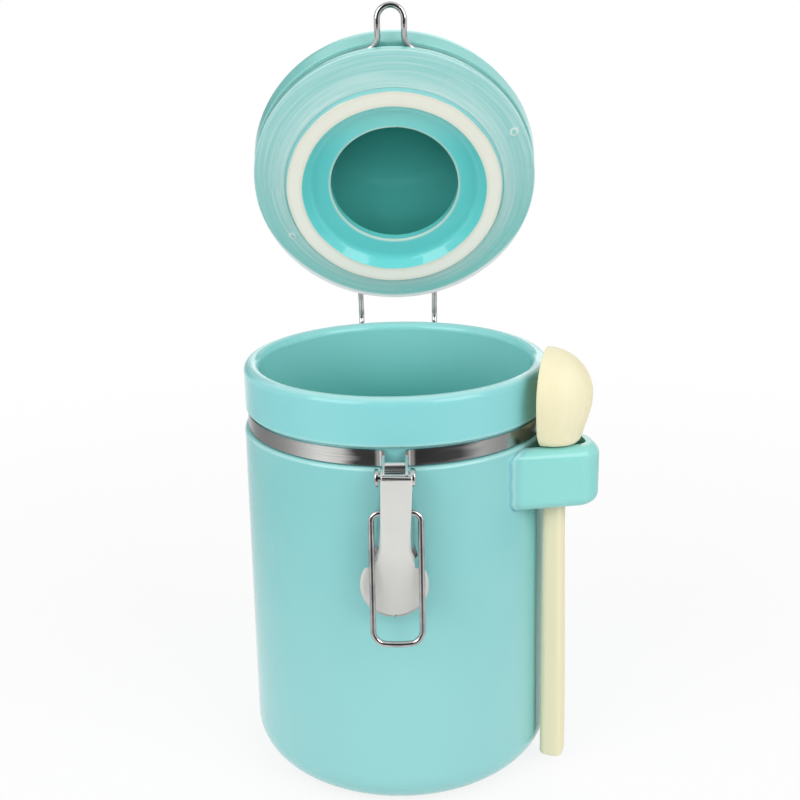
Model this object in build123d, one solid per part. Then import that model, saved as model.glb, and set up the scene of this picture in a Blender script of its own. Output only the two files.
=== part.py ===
from build123d import *

import math
import os

# Ceramic canister with a clamp lid, a latch and a wooden spoon, in millimetres.
# The origin is the middle of the jar's base. +Z is up, the latch is at -Y and the spoon at +X.
# The lid stands open, the latch hangs down and the spoon hangs in its strap.

# Fits
running_clearance = 0.05
seat_gap = 0.1
free_gap = 0.35
overrun = 5.0

# Jar
jar_height = 166.5
jar_wall = 6.1
floor_thickness = 7.0
floor_round = 10.0
body_taper = 1.4
base_round = 14.0
shoulder_step = 0.7
shoulder_round = 1.6
collar_radius = 60.0
collar_height = 18.0
collar_round = 0.9
neck_depth = 1.8

# Spoon strap of the jar
strap_turn = 9.7
strap_lean = 40.5
strap_width = 24.0
strap_height = 23.8
strap_reach = 24.3
strap_side_wall = 5.7
strap_end_wall = 5.0
strap_corner = 9.5
strap_round = 4.4
strap_front_flare = 5.0
strap_back_flare = 3.0
strap_root = 4.6
strap_below_band = 1.6

# Neck band and its ears
band_width = 5.8
band_thickness = 0.9
band_top_gap = 1.1
band_low_gap = 0.6
ear_spacing = 7.3
ear_bend = 1.2
ear_trim = 1.3
ear_lobe = 2.7

# Latch pin and band spacer
pin_radius = 1.5
pin_forward = 7.0
pin_drop = 4.4
pin_head_radius = 3.2
pin_head_length = 1.3
spacer_radius = 2.1
spacer_tenon_radius = 1.1
spacer_rise = 2.6

# Latch lever
lever_sheet = 0.8
lever_plate_forward = 4.4
lever_plate_rise = 1.9
lever_neck_width = 10.2
lever_neck_drop = 26.0
lever_lobe = 3.7
lever_heel_drop = 18.0
lever_tail_drop = 24.0
lever_tail_depth = 3.5
paddle_radius = 12.3
paddle_drop = 40.2
paddle_set_back = 2.6
paddle_blend = 4.0

# Latch loop
loop_wire_radius = 1.1
loop_width = 17.4
loop_length = 48.4
loop_corner = 2.9
loop_drop = 13.1
loop_back = 0.3

# Gasket, in the lid's own heights above the gasket's outer edge
gasket_inset = 1.15
gasket_width = 13.6
gasket_thickness = 1.6
gasket_fall = 5.5

# Lid, in the same heights
lid_overhang = 3.05
lid_widest_height = 14.8
lid_height = 28.5
lid_crown = 1.8
lid_edge_round = 13.2
lid_lip_inset = 1.35
lid_shoulder_inset = 0.75
lid_top_wall = 5.5
lid_side_wall = 4.7
lid_floor_wall = 5.0
lid_hollow_round = 5.0
lid_hole_inset = 12.2
lid_edge_ease = 0.6
plug_inset = 1.2
plug_depth = 7.0
plug_ring_width = 6.8
plug_recess = 5.0
plug_recess_slope = 3.4

# Lid wire
wire_radius = 1.3
wire_height = 6.0
wire_depth = 0.6
hook_half_width = 5.5
hook_flare = 6.5
hook_run = 3.0
hook_bend = 6.0
hook_rise_angle = 28.0
hook_tip_run = 1.0
leg_spread = 17.7
leg_flare = 3.0
leg_bend = 7.0
wire_end_bend = 2.2
wire_end_length = 1.8

# Hinge behind the jar
hinge_reach = 19.3
hinge_drop = 2.8
open_angle = 66.4
bracket_sheet = 1.0
bracket_lobe = 3.4
stop_near = 3.6
stop_length = 4.0

# Spoon
spoon_turn = -19.3
spoon_stand = 8.4
handle_thickness = 7.4
handle_width = 9.6
handle_round = 2.0
handle_below_strap = 135.0
bowl_width = 31.0
bowl_depth = 17.0
bowl_height = 36.4
bowl_wall = 3.0
bowl_forward = 0.5
neck_low_share = 0.55
neck_back_share = 0.37
neck_side_gap = 0.95
neck_top_share = 0.8

# Heights and radii that follow from the sizes above
neck_radius = collar_radius - neck_depth
body_top_radius = collar_radius + shoulder_step
body_low_radius = body_top_radius + body_taper
groove_top = jar_height - collar_height
band_top = groove_top - band_top_gap
band_low = band_top - band_width
band_middle = (band_top + band_low) / 2
groove_low = band_low - band_low_gap
mouth_radius = collar_radius - jar_wall
rim_round = jar_wall / 2 - seat_gap
band_inner_radius = neck_radius + seat_gap
band_outer_radius = band_inner_radius + band_thickness

strap_top = groove_low - strap_below_band + band_low_gap
strap_low = strap_top - strap_height
strap_offset = body_top_radius * math.sin(math.radians(strap_lean))
strap_foot = body_top_radius * math.cos(math.radians(strap_lean))
strap_end = strap_foot + strap_reach

ear_inner = ear_spacing / 2
ear_outer = ear_inner + band_thickness
pivot_y = -(collar_radius + pin_forward)
pivot_z = band_middle - pin_drop
spacer_y = pivot_y + pin_radius + spacer_radius
spacer_z = pivot_z + spacer_rise

lever_half_width = ear_outer + free_gap + lever_sheet
lever_front = pivot_y - lever_plate_forward
lever_back = -(body_top_radius + free_gap)
loop_pivot_y = pivot_y - loop_back
loop_pivot_z = pivot_z - loop_drop
paddle_z = pivot_z - paddle_drop
paddle_front = lever_front + paddle_set_back
loop_paddle_reach = loop_wire_radius + free_gap
paddle_shoulder = paddle_z + math.sqrt(paddle_radius ** 2 - (loop_width / 2) ** 2)
loop_touch_drop = loop_pivot_z - paddle_shoulder
loop_lean = math.degrees(math.atan2(loop_pivot_y - paddle_front + loop_paddle_reach, loop_touch_drop))

lid_radius = collar_radius + lid_overhang
lid_lip_radius = lid_radius - lid_lip_inset
lid_shoulder_radius = lid_radius - lid_shoulder_inset
gasket_outer_radius = lid_radius - gasket_inset
gasket_inner_radius = gasket_outer_radius - gasket_width
plug_radius = gasket_inner_radius - plug_inset
plug_ring_inner = plug_radius - plug_ring_width
lid_hole_radius = plug_ring_inner - lid_hole_inset
gasket_slope = gasket_fall / (gasket_outer_radius - gasket_inner_radius)
cone_stretch = math.hypot(1, gasket_slope)
rim_middle_radius = collar_radius - rim_round - seat_gap
rim_contact = (rim_round + free_gap) * cone_stretch - rim_round
lid_lift = rim_contact + gasket_slope * (gasket_outer_radius - rim_middle_radius)
lid_base = jar_height + lid_lift
seat_rise = gasket_thickness + seat_gap
groove_half = wire_radius + 2 * seat_gap
wire_ring_radius = lid_lip_radius - wire_radius - wire_depth
groove_floor = wire_ring_radius - wire_radius - seat_gap

hinge_y = collar_radius + hinge_reach
hinge_z = band_middle - hinge_drop
hinge_below_lid = lid_base - hinge_z
bracket_outer = leg_spread - wire_end_bend - free_gap
bracket_inner = bracket_outer - bracket_sheet


def rounded_face(plane, corners):
    """Face in a plane from (across, up, radius) corners, each rounded by its own radius."""
    spots = [Vector(across, up) for across, up, radius in corners]
    radii = [radius for across, up, radius in corners]
    starts = []
    ends = []
    edges = []
    for index, spot in enumerate(spots):
        before = (spots[index - 1] - spot).normalized()
        after = (spots[(index + 1) % len(spots)] - spot).normalized()
        half = math.radians(before.get_angle(after)) / 2
        reach = radii[index] / math.tan(half)
        starts.append(spot + before * reach)
        ends.append(spot + after * reach)
        if radii[index] > 0:
            inward = (before + after).normalized()
            middle = spot + inward * (radii[index] / math.sin(half) - radii[index])
            edges.append(ThreePointArc(starts[-1], middle, ends[-1]))
    for index, end in enumerate(ends):
        start = starts[(index + 1) % len(spots)]
        edges.append(Line(end, start))
    flat = make_face(edges)
    return plane * flat


def turned(corners):
    """Solid of revolution about Z from (radius, height, round) corners."""
    return revolve(rounded_face(Plane.XZ, corners), Axis.Z)


def side_plate(face_in_yz, low_x, high_x):
    """Plate between two X places from a face that was drawn in the YZ plane."""
    return Pos(low_x, 0, 0) * extrude(face_in_yz, high_x - low_x, dir=(1, 0, 0))


def pin_along_x(radius, low_x, high_x, y, z):
    """Round bar along X between two places."""
    middle = (low_x + high_x) / 2
    return Pos(middle, y, z) * Rot(0, 90, 0) * Cylinder(radius, high_x - low_x)


def both_sides(solid):
    """The solid and its mirror image across the YZ plane."""
    return solid + mirror(solid, Plane.YZ)


def round_wire(radius, edges):
    """Round wire swept along edges that join smoothly."""
    path = Wire(edges)
    section = Plane(path @ 0, z_dir=path % 0) * Circle(radius)
    return sweep(section, path)


def bend(centre, start, end):
    """Quarter turn or less from start to end about a centre."""
    centre = Vector(centre)
    start = Vector(start)
    end = Vector(end)
    radius = (start - centre).length
    middle = centre + (start + end - centre * 2).normalized() * radius
    return ThreePointArc(start, middle, end)


# Jar


def strap_place(shape):
    """Turn a shape from the strap's own directions to the jar's."""
    return Rot(0, 0, strap_turn) * shape


def make_strap():
    """Loop of clay on the jar's side that the spoon hangs in."""
    root_radius = body_top_radius - seat_gap
    inner_radius = root_radius - strap_root
    front = -strap_offset - strap_width / 2
    back = -strap_offset + strap_width / 2
    corner_x = strap_end - strap_corner

    def flare(wall, side, radius):
        """Centre of a flare, where it leaves the jar, and where it meets the wall."""
        centre_y = wall + side * radius
        centre = Vector(math.sqrt((root_radius + radius) ** 2 - centre_y ** 2), centre_y)
        return centre, centre * (root_radius / centre.length), Vector(centre.X, wall)

    front_centre, front_jar, front_wall = flare(front, -1, strap_front_flare)
    back_centre, back_jar, back_wall = flare(back, 1, strap_back_flare)
    front_inner = front_jar * (inner_radius / root_radius)
    back_inner = back_jar * (inner_radius / root_radius)
    inner_middle = (front_inner + back_inner).normalized() * inner_radius
    outline = [
        Line(front_inner, front_jar),
        bend(front_centre, front_jar, front_wall),
        Line(front_wall, (corner_x, front)),
        bend((corner_x, front + strap_corner), (corner_x, front), (strap_end, front + strap_corner)),
        Line((strap_end, front + strap_corner), (strap_end, back - strap_corner)),
        bend((corner_x, back - strap_corner), (strap_end, back - strap_corner), (corner_x, back)),
        Line((corner_x, back), back_wall),
        bend(back_centre, back_wall, back_jar),
        Line(back_jar, back_inner),
        ThreePointArc(back_inner, inner_middle, front_inner),
    ]
    block = extrude(Pos(0, 0, strap_low) * make_face(outline), strap_height)

    def is_outer_rim(edge):
        """Whether an edge lies flat on the top or bottom and outside the jar's wall."""
        middle = edge @ 0.5
        flat = edge.bounding_box().size.Z < running_clearance
        return flat and math.hypot(middle.X, middle.Y) > root_radius - running_clearance

    block = fillet(block.edges().filter_by(is_outer_rim), strap_round)
    hole_front = front + strap_side_wall
    hole_back = back - strap_side_wall
    hole_end = strap_end - strap_end_wall
    hole_corner = strap_corner - strap_end_wall
    hole = rounded_face(Plane.XY, [
        (0, hole_front, 0),
        (hole_end, hole_front, hole_corner),
        (hole_end, hole_back, hole_corner),
        (0, hole_back, 0),
    ])
    block -= extrude(Pos(0, 0, strap_low - overrun) * hole, strap_height + 2 * overrun)
    return strap_place(block)


def make_jar():
    """Body with its collar, band groove and strap, open at the top."""
    body = turned([
        (0, 0, 0),
        (body_low_radius, 0, base_round),
        (body_top_radius, groove_low, shoulder_round),
        (neck_radius, groove_low, 0),
        (neck_radius, groove_top, 0),
        (collar_radius, groove_top, collar_round),
        (collar_radius, jar_height, rim_round),
        (mouth_radius, jar_height, rim_round),
        (mouth_radius, floor_thickness, floor_round),
        (0, floor_thickness, 0),
    ])
    return body + make_strap()


# Neck band, its spacer and the latch pin


def make_neck_band():
    """Strip round the neck whose two ends bend forwards as ears."""
    bend_x = ear_outer + ear_bend
    bend_reach = band_outer_radius + ear_bend
    bend_y = -math.sqrt(bend_reach ** 2 - bend_x ** 2)
    centre = Vector(bend_x, bend_y)
    outer_end = centre * (band_outer_radius / bend_reach)
    inner_end = centre * (band_inner_radius / bend_reach)
    stub_y = bend_y - band_thickness / 2
    outline = [
        Line((ear_inner, stub_y), (ear_outer, stub_y)),
        Line((ear_outer, stub_y), (ear_outer, bend_y)),
        bend(centre, (ear_outer, bend_y), outer_end),
        ThreePointArc(outer_end, (band_outer_radius, 0), (0, band_outer_radius)),
        Line((0, band_outer_radius), (0, band_inner_radius)),
        ThreePointArc((0, band_inner_radius), (band_inner_radius, 0), inner_end),
        bend(centre, inner_end, (ear_inner, bend_y)),
        Line((ear_inner, bend_y), (ear_inner, stub_y)),
    ]
    strip = extrude(Pos(0, 0, band_low) * make_face(outline), band_width)
    ear_height = band_width - ear_trim
    root = Pos((stub_y + bend_y) / 2, band_low + ear_height / 2) * Rectangle(bend_y - stub_y, ear_height)
    ear_outline = make_hull((root + Pos(pivot_y, pivot_z) * Circle(ear_lobe)).edges())
    ear = side_plate(Plane.YZ * ear_outline, ear_inner, ear_outer)
    pin_hole = pin_along_x(pin_radius + running_clearance, -neck_radius, neck_radius, pivot_y, pivot_z)
    tenon_hole = spacer_tenon_radius + running_clearance
    spacer_hole = pin_along_x(tenon_hole, -neck_radius, neck_radius, spacer_y, spacer_z)
    return both_sides(strip + ear) - pin_hole - spacer_hole


def make_band_spacer():
    """Barrel between the ears, with a tenon riveted flush in each of them."""
    barrel_end = ear_inner - running_clearance
    barrel = pin_along_x(spacer_radius, -barrel_end, barrel_end, spacer_y, spacer_z)
    return barrel + pin_along_x(spacer_tenon_radius, -ear_outer, ear_outer, spacer_y, spacer_z)


def make_lever_pin():
    """Rivet that the lever turns on, with a domed head outside each flange."""
    head_inner = lever_half_width + free_gap / 2
    head_outer = head_inner + pin_head_length
    shank = pin_along_x(pin_radius, -head_outer, head_outer, pivot_y, pivot_z)
    head = pin_along_x(pin_head_radius, head_inner, head_outer, pivot_y, pivot_z)
    rim = head.edges().filter_by(GeomType.CIRCLE).sort_by(Axis.X)[-1]
    return shank + both_sides(fillet(rim, pin_head_length / 2))


# Latch lever and loop


def make_latch_lever():
    """Channel that hangs on the pin, with a round paddle to push."""
    plate_top = pivot_z + lever_plate_rise
    neck_z = pivot_z - lever_neck_drop
    tail_z = pivot_z - lever_tail_drop
    heel_z = pivot_z - lever_heel_drop
    lobe_top = pivot_z + lever_lobe
    plate_back = lever_front + lever_sheet

    def channel(inset, top):
        """Front outline of the channel, drawn in by an inset on each side."""
        wide = lever_half_width - inset
        narrow = lever_neck_width / 2 - inset
        corners = [(-wide, top, 0), (-narrow, neck_z, 0), (narrow, neck_z, 0), (wide, top, 0)]
        return rounded_face(Plane.XZ, corners)

    depth = lever_back - lever_front
    outer = Pos(0, lever_front, 0) * extrude(channel(0, lobe_top), depth, dir=(0, 1, 0))
    side_corners = [
        (lever_front, plate_top, 0),
        (pivot_y, lobe_top, 0),
        (pivot_y + lever_lobe, pivot_z, 0),
        (lever_back, pivot_z - lever_lobe, lever_lobe / 2),
        (lever_back, heel_z, lever_lobe),
        (lever_front + lever_tail_depth, tail_z, 0),
        (lever_front + lever_tail_depth, neck_z, 0),
        (lever_front, neck_z, 0),
    ]
    side = rounded_face(Plane.XY, side_corners) + Pos(pivot_y, pivot_z) * Circle(lever_lobe)
    outer &= side_plate(Plane.YZ * side, -neck_radius, neck_radius)
    inner = channel(lever_sheet, lobe_top + overrun)
    outer -= Pos(0, plate_back, 0) * extrude(inner, depth, dir=(0, 1, 0))

    front_points = [
        (lever_front, neck_z + 2 * paddle_blend),
        (lever_front, neck_z + paddle_blend),
        (paddle_front, paddle_shoulder + 2 * lever_sheet),
        (paddle_front, paddle_z - paddle_radius - lever_sheet),
    ]
    strip_corners = [(y, z, 0) for y, z in front_points]
    strip_corners += [(y + lever_sheet, z, 0) for y, z in reversed(front_points)]
    strip = side_plate(rounded_face(Plane.YZ, strip_corners), -neck_radius, neck_radius)
    stem_half = lever_neck_width / 2
    stem_top = neck_z + 2 * paddle_blend
    stem = Pos(0, (stem_top + paddle_z) / 2) * Rectangle(2 * stem_half, stem_top - paddle_z)
    face = stem + Pos(0, paddle_z) * Circle(paddle_radius)
    joins = [v for v in face.vertices() if paddle_z < v.Y < stem_top - running_clearance]
    face = fillet(joins, paddle_blend)
    front = extrude(Plane.XZ * face, collar_radius * 2, both=True)
    lever = outer + (strip & front)
    lever -= pin_along_x(pin_radius + running_clearance, -neck_radius, neck_radius, pivot_y, pivot_z)
    loop_hole = loop_wire_radius + running_clearance
    return lever - pin_along_x(loop_hole, -neck_radius, neck_radius, loop_pivot_y, loop_pivot_z)


def make_latch_loop():
    """Closed wire loop that hangs in the lever and leans on its paddle."""
    half = loop_width / 2
    inner = half - loop_corner
    low = -loop_length
    edges = [
        Line((0, 0, 0), (inner, 0, 0)),
        bend((inner, 0, -loop_corner), (inner, 0, 0), (half, 0, -loop_corner)),
        Line((half, 0, -loop_corner), (half, 0, low + loop_corner)),
        bend((inner, 0, low + loop_corner), (half, 0, low + loop_corner), (inner, 0, low)),
        Line((inner, 0, low), (0, 0, low)),
    ]
    loop = both_sides(round_wire(loop_wire_radius, edges))
    return Pos(0, loop_pivot_y, loop_pivot_z) * Rot(-loop_lean, 0, 0) * loop


# Lid, gasket and lid wire, made closed about the gasket's outer edge and then swung open


def swing_open(shape):
    """Carry a piece from the closed lid's own heights to the open lid."""
    closed = Pos(0, -hinge_y, hinge_below_lid) * shape
    return Pos(0, hinge_y, hinge_z) * Rot(-open_angle, 0, 0) * closed


def make_lid():
    """Hollow lid with a wire groove, a plug and a hole in its underside."""
    hollow_radius = groove_floor - lid_side_wall
    ceiling = lid_height - lid_top_wall
    recess = plug_recess - plug_depth
    hollow_floor = recess + lid_floor_wall
    lid = turned([
        (0, lid_height, 0),
        (0, ceiling, 0),
        (hollow_radius, ceiling, lid_hollow_round),
        (hollow_radius, hollow_floor, lid_hollow_round),
        (lid_hole_radius, hollow_floor, lid_edge_ease),
        (lid_hole_radius, recess, lid_edge_ease),
        (plug_ring_inner - plug_recess_slope, recess, plug_recess_slope),
        (plug_ring_inner, -plug_depth, lid_edge_ease),
        (plug_radius, -plug_depth, lid_edge_ease),
        (gasket_inner_radius, seat_rise - gasket_fall, 0),
        (lid_lip_radius, seat_rise, lid_edge_ease),
        (lid_lip_radius, wire_height - groove_half, lid_edge_ease),
        (groove_floor, wire_height - groove_half, 0),
        (groove_floor, wire_height + groove_half, 0),
        (lid_shoulder_radius, wire_height + groove_half, lid_edge_ease),
        (lid_radius, lid_widest_height, 0),
        (lid_radius, lid_height, lid_edge_round),
    ])
    crown_radius = (lid_radius ** 2 + lid_crown ** 2) / (2 * lid_crown)
    crown = Pos(0, 0, lid_height - crown_radius) * Sphere(crown_radius)
    return swing_open(lid & crown)


def make_lid_gasket():
    """Soft ring on the cone between the lid's lip and its plug."""
    gasket = turned([
        (gasket_outer_radius, 0, 0),
        (gasket_outer_radius, gasket_thickness, 0),
        (gasket_inner_radius, gasket_thickness - gasket_fall, 0),
        (gasket_inner_radius, -gasket_fall, 0),
    ])
    return swing_open(gasket)


def make_lid_wire():
    """One bent wire: front hook, ring in the lid's groove, rear legs and turned-in hinge ends."""
    level = wire_height
    rise = math.radians(hook_rise_angle)
    flare_x = hook_half_width + hook_flare
    flare_y = -math.sqrt((wire_ring_radius + hook_flare) ** 2 - flare_x ** 2)
    flare_scale = wire_ring_radius / (wire_ring_radius + hook_flare)
    ring_front = (flare_x * flare_scale, flare_y * flare_scale, level)
    rear_x = leg_spread + leg_flare
    rear_y = math.sqrt((wire_ring_radius + leg_flare) ** 2 - rear_x ** 2)
    rear_scale = wire_ring_radius / (wire_ring_radius + leg_flare)
    ring_rear = (rear_x * rear_scale, rear_y * rear_scale, level)

    bend_y = flare_y - hook_run
    risen_y = bend_y - hook_bend * math.sin(rise)
    risen_z = level + hook_bend * (1 - math.cos(rise))
    tip_y = risen_y - hook_tip_run * math.cos(rise)
    tip_z = risen_z + hook_tip_run * math.sin(rise)
    top_y = tip_y - hook_half_width * math.cos(rise)
    top_z = tip_z + hook_half_width * math.sin(rise)

    knee_y = hinge_y - leg_bend
    knee_z = level - leg_bend
    low_z = wire_end_bend - hinge_below_lid
    end_x = leg_spread - wire_end_bend
    stop_x = bracket_inner - wire_end_length
    edges = [
        bend((0, tip_y, tip_z), (0, top_y, top_z), (hook_half_width, tip_y, tip_z)),
        Line((hook_half_width, tip_y, tip_z), (hook_half_width, risen_y, risen_z)),
        bend(
            (hook_half_width, bend_y, level + hook_bend),
            (hook_half_width, risen_y, risen_z),
            (hook_half_width, bend_y, level),
        ),
        Line((hook_half_width, bend_y, level), (hook_half_width, flare_y, level)),
        bend((flare_x, flare_y, level), (hook_half_width, flare_y, level), ring_front),
        ThreePointArc(ring_front, (wire_ring_radius, 0, level), ring_rear),
        bend((rear_x, rear_y, level), ring_rear, (leg_spread, rear_y, level)),
        Line((leg_spread, rear_y, level), (leg_spread, knee_y, level)),
        bend((leg_spread, knee_y, knee_z), (leg_spread, knee_y, level), (leg_spread, hinge_y, knee_z)),
        Line((leg_spread, hinge_y, knee_z), (leg_spread, hinge_y, low_z)),
        bend((end_x, hinge_y, low_z), (leg_spread, hinge_y, low_z), (end_x, hinge_y, -hinge_below_lid)),
        Line((end_x, hinge_y, -hinge_below_lid), (stop_x, hinge_y, -hinge_below_lid)),
    ]
    return swing_open(both_sides(round_wire(wire_radius, edges)))


def make_hinge_bracket():
    """Saddle on the back of the band with an ear and a stop lug for each leg of the wire."""
    saddle_inner = band_outer_radius + seat_gap
    saddle_outer = saddle_inner + bracket_sheet
    ring = Circle(saddle_outer) - Circle(saddle_inner)
    keep = Pos(0, saddle_outer / 2) * Rectangle(2 * bracket_outer, saddle_outer)
    saddle = extrude(Pos(0, 0, band_low) * (ring & keep), band_width)

    root = math.sqrt(saddle_inner ** 2 - bracket_inner ** 2)
    swing = math.radians(open_angle)
    along = Vector(math.sin(swing), math.cos(swing))
    below = Vector(math.cos(swing), -math.sin(swing))
    stop_middle = Vector(hinge_y, hinge_z) + along * (stop_near + stop_length / 2)
    stop_middle += below * (wire_radius + free_gap + bracket_sheet / 2)
    foot = Pos(root + bracket_sheet / 2, band_middle) * Rectangle(bracket_sheet, band_width)
    stop_outline = Pos(stop_middle.X, stop_middle.Y) * Rot(0, 0, 90 - open_angle)
    stop_outline *= Rectangle(stop_length, bracket_sheet)
    outline = make_hull((foot + Pos(hinge_y, hinge_z) * Circle(bracket_lobe) + stop_outline).edges())
    ear = side_plate(Plane.YZ * outline, bracket_inner, bracket_outer)
    lug = side_plate(Plane.YZ * stop_outline, bracket_inner, leg_spread + wire_radius)
    bracket = saddle + both_sides(ear + lug)
    hole_radius = wire_radius + running_clearance
    return bracket - pin_along_x(hole_radius, -hinge_y, hinge_y, hinge_y, hinge_z)


# Spoon


def make_spoon():
    """Wooden spoon upright in its own directions: +X is the back of the bowl, +Y its width."""
    face_x = -handle_thickness / 2
    rim_x = face_x - bowl_forward
    half_width = bowl_width / 2
    half_height = bowl_height / 2
    handle_low = strap_top - handle_below_strap
    bowl_z = strap_top + free_gap + half_height
    handle_top = bowl_z - half_height / 2
    handle = Pos(0, 0, handle_low) * extrude(
        RectangleRounded(handle_thickness, handle_width, handle_round), handle_top - handle_low
    )
    handle_end = handle.faces().sort_by(Axis.Z)[0].edges()
    handle = fillet(handle_end, handle_round / 2)

    def egg(wall):
        """Bowl's egg about the middle of its rim, with a wall taken off."""
        ball = Rot(0, -90, 0) * Sphere(1)
        shape = scale(ball, by=(bowl_depth - wall, half_width - wall, half_height - wall))
        return Pos(rim_x, 0, bowl_z) * shape

    neck_back = rim_x + neck_back_share * bowl_depth + handle_thickness / 2
    neck_inset = handle_round / 4
    neck_width = strap_width / 2 - strap_side_wall - neck_side_gap
    top_back = rim_x + neck_top_share * bowl_depth
    low_z = strap_top - half_height * neck_low_share
    low_half = handle_thickness / 2 - neck_inset
    sections = [
        Pos(0, 0, low_z) * Ellipse(low_half, handle_width / 2 - neck_inset),
        Pos((face_x + neck_back) / 2, 0, strap_top) * Ellipse((neck_back - face_x) / 2, neck_width),
        Pos((face_x + top_back) / 2, 0, handle_top) * Ellipse((top_back - face_x) / 2, half_width - 2 * bowl_wall),
    ]
    size = 2 * handle_below_strap
    ahead_of_rim = Pos(rim_x - size / 2, 0, bowl_z) * Box(size, size, size)
    spoon = handle + loft(sections) + egg(0) - ahead_of_rim - egg(bowl_wall)
    place = strap_place(Pos(strap_foot + spoon_stand, -strap_offset, 0))
    spot = place.position
    return Pos(spot.X, spot.Y, 0) * Rot(0, 0, spoon_turn) * spoon


pieces = {
    "jar": make_jar(),
    "neck_band": make_neck_band(),
    "band_spacer": make_band_spacer(),
    "lever_pin": make_lever_pin(),
    "latch_lever": make_latch_lever(),
    "latch_loop": make_latch_loop(),
    "lid": make_lid(),
    "lid_gasket": make_lid_gasket(),
    "lid_wire": make_lid_wire(),
    "hinge_bracket": make_hinge_bracket(),
    "spoon": make_spoon(),
}

os.makedirs("parts", exist_ok=True)
for name, piece in pieces.items():
    export_step(piece, f"parts/{name}.step")
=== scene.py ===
import logging
import math
from collections.abc import Callable
from dataclasses import dataclass
from enum import Enum

import bpy
import numpy as np
from mathutils import Matrix, Vector


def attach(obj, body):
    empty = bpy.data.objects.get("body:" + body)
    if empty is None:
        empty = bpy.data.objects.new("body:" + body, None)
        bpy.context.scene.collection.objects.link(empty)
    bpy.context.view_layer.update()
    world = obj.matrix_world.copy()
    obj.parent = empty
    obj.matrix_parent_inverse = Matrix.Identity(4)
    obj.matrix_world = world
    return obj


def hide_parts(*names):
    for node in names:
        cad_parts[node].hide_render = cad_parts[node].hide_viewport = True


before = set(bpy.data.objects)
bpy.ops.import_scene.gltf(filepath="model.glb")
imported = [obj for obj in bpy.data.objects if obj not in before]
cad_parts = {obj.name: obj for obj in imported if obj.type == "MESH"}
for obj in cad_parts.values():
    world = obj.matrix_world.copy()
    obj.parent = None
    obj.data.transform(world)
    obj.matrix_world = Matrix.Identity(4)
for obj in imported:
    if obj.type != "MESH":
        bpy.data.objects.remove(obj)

LOG = logging.getLogger("canister")
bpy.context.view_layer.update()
MM = 0.001
TINY = 1e-9
WHITE_RAYS = ("Is Camera Ray", "Is Glossy Ray", "Is Transmission Ray")

Colour = tuple[float, float, float]
Point = tuple[float, float, float]
Pair = tuple[float, float]
Socket = bpy.types.NodeSocket
Material = bpy.types.Material
Object = bpy.types.Object
Array = np.ndarray


def linear(red: int, green: int, blue: int) -> Colour:
    """Turn screen levels from 0 to 255 into the linear values that sockets take."""
    levels = np.array([red, green, blue]) / 255
    return tuple(np.where(levels <= 0.04045, levels / 12.92, ((levels + 0.055) / 1.055) ** 2.4).tolist())


# Shader expressions


def math_method(operation: str, swapped: bool = False) -> "Callable[..., Value]":
    """Make a method that adds one Math node.

    Args:
        operation: The node's operation.
        swapped: Whether the other operand comes first.

    Returns:
        The method, for the class below.
    """

    def method(self: "Value", other: "Value | float" = 0.0) -> "Value":
        """Put this number and another through the operation."""
        operands = (other, self) if swapped else (self, other)
        return self.tree.number("ShaderNodeMath", {"operation": operation}, dict(enumerate(operands)))

    return method


class Value:
    """A number in a node tree that takes part in Python sums."""

    __add__ = __radd__ = math_method("ADD")
    __sub__ = math_method("SUBTRACT")
    __rsub__ = math_method("SUBTRACT", swapped=True)
    __mul__ = __rmul__ = math_method("MULTIPLY")
    __truediv__ = math_method("DIVIDE")
    __pow__ = math_method("POWER")
    __abs__ = math_method("ABSOLUTE")
    larger = math_method("MAXIMUM")
    bearing = math_method("ARCTAN2")

    def __init__(self, tree: "Shader", socket: Socket) -> None:
        """Keep the tree and the socket that the number comes out of."""
        self.tree = tree
        self.socket = socket

    def smooth(self, low: float, high: float) -> "Value":
        """Ease from 0 where this number is at low to 1 where it is at high."""
        inputs = {"Value": self, "From Min": low, "From Max": high}
        return self.tree.number("ShaderNodeMapRange", {"interpolation_type": "SMOOTHSTEP"}, inputs)

    def near(self, middle: float, half: float) -> "Value":
        """1 where this number is at a middle value, easing to 0 at a distance of half from it."""
        return 1 - abs(self - middle).smooth(0.0, half)


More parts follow.
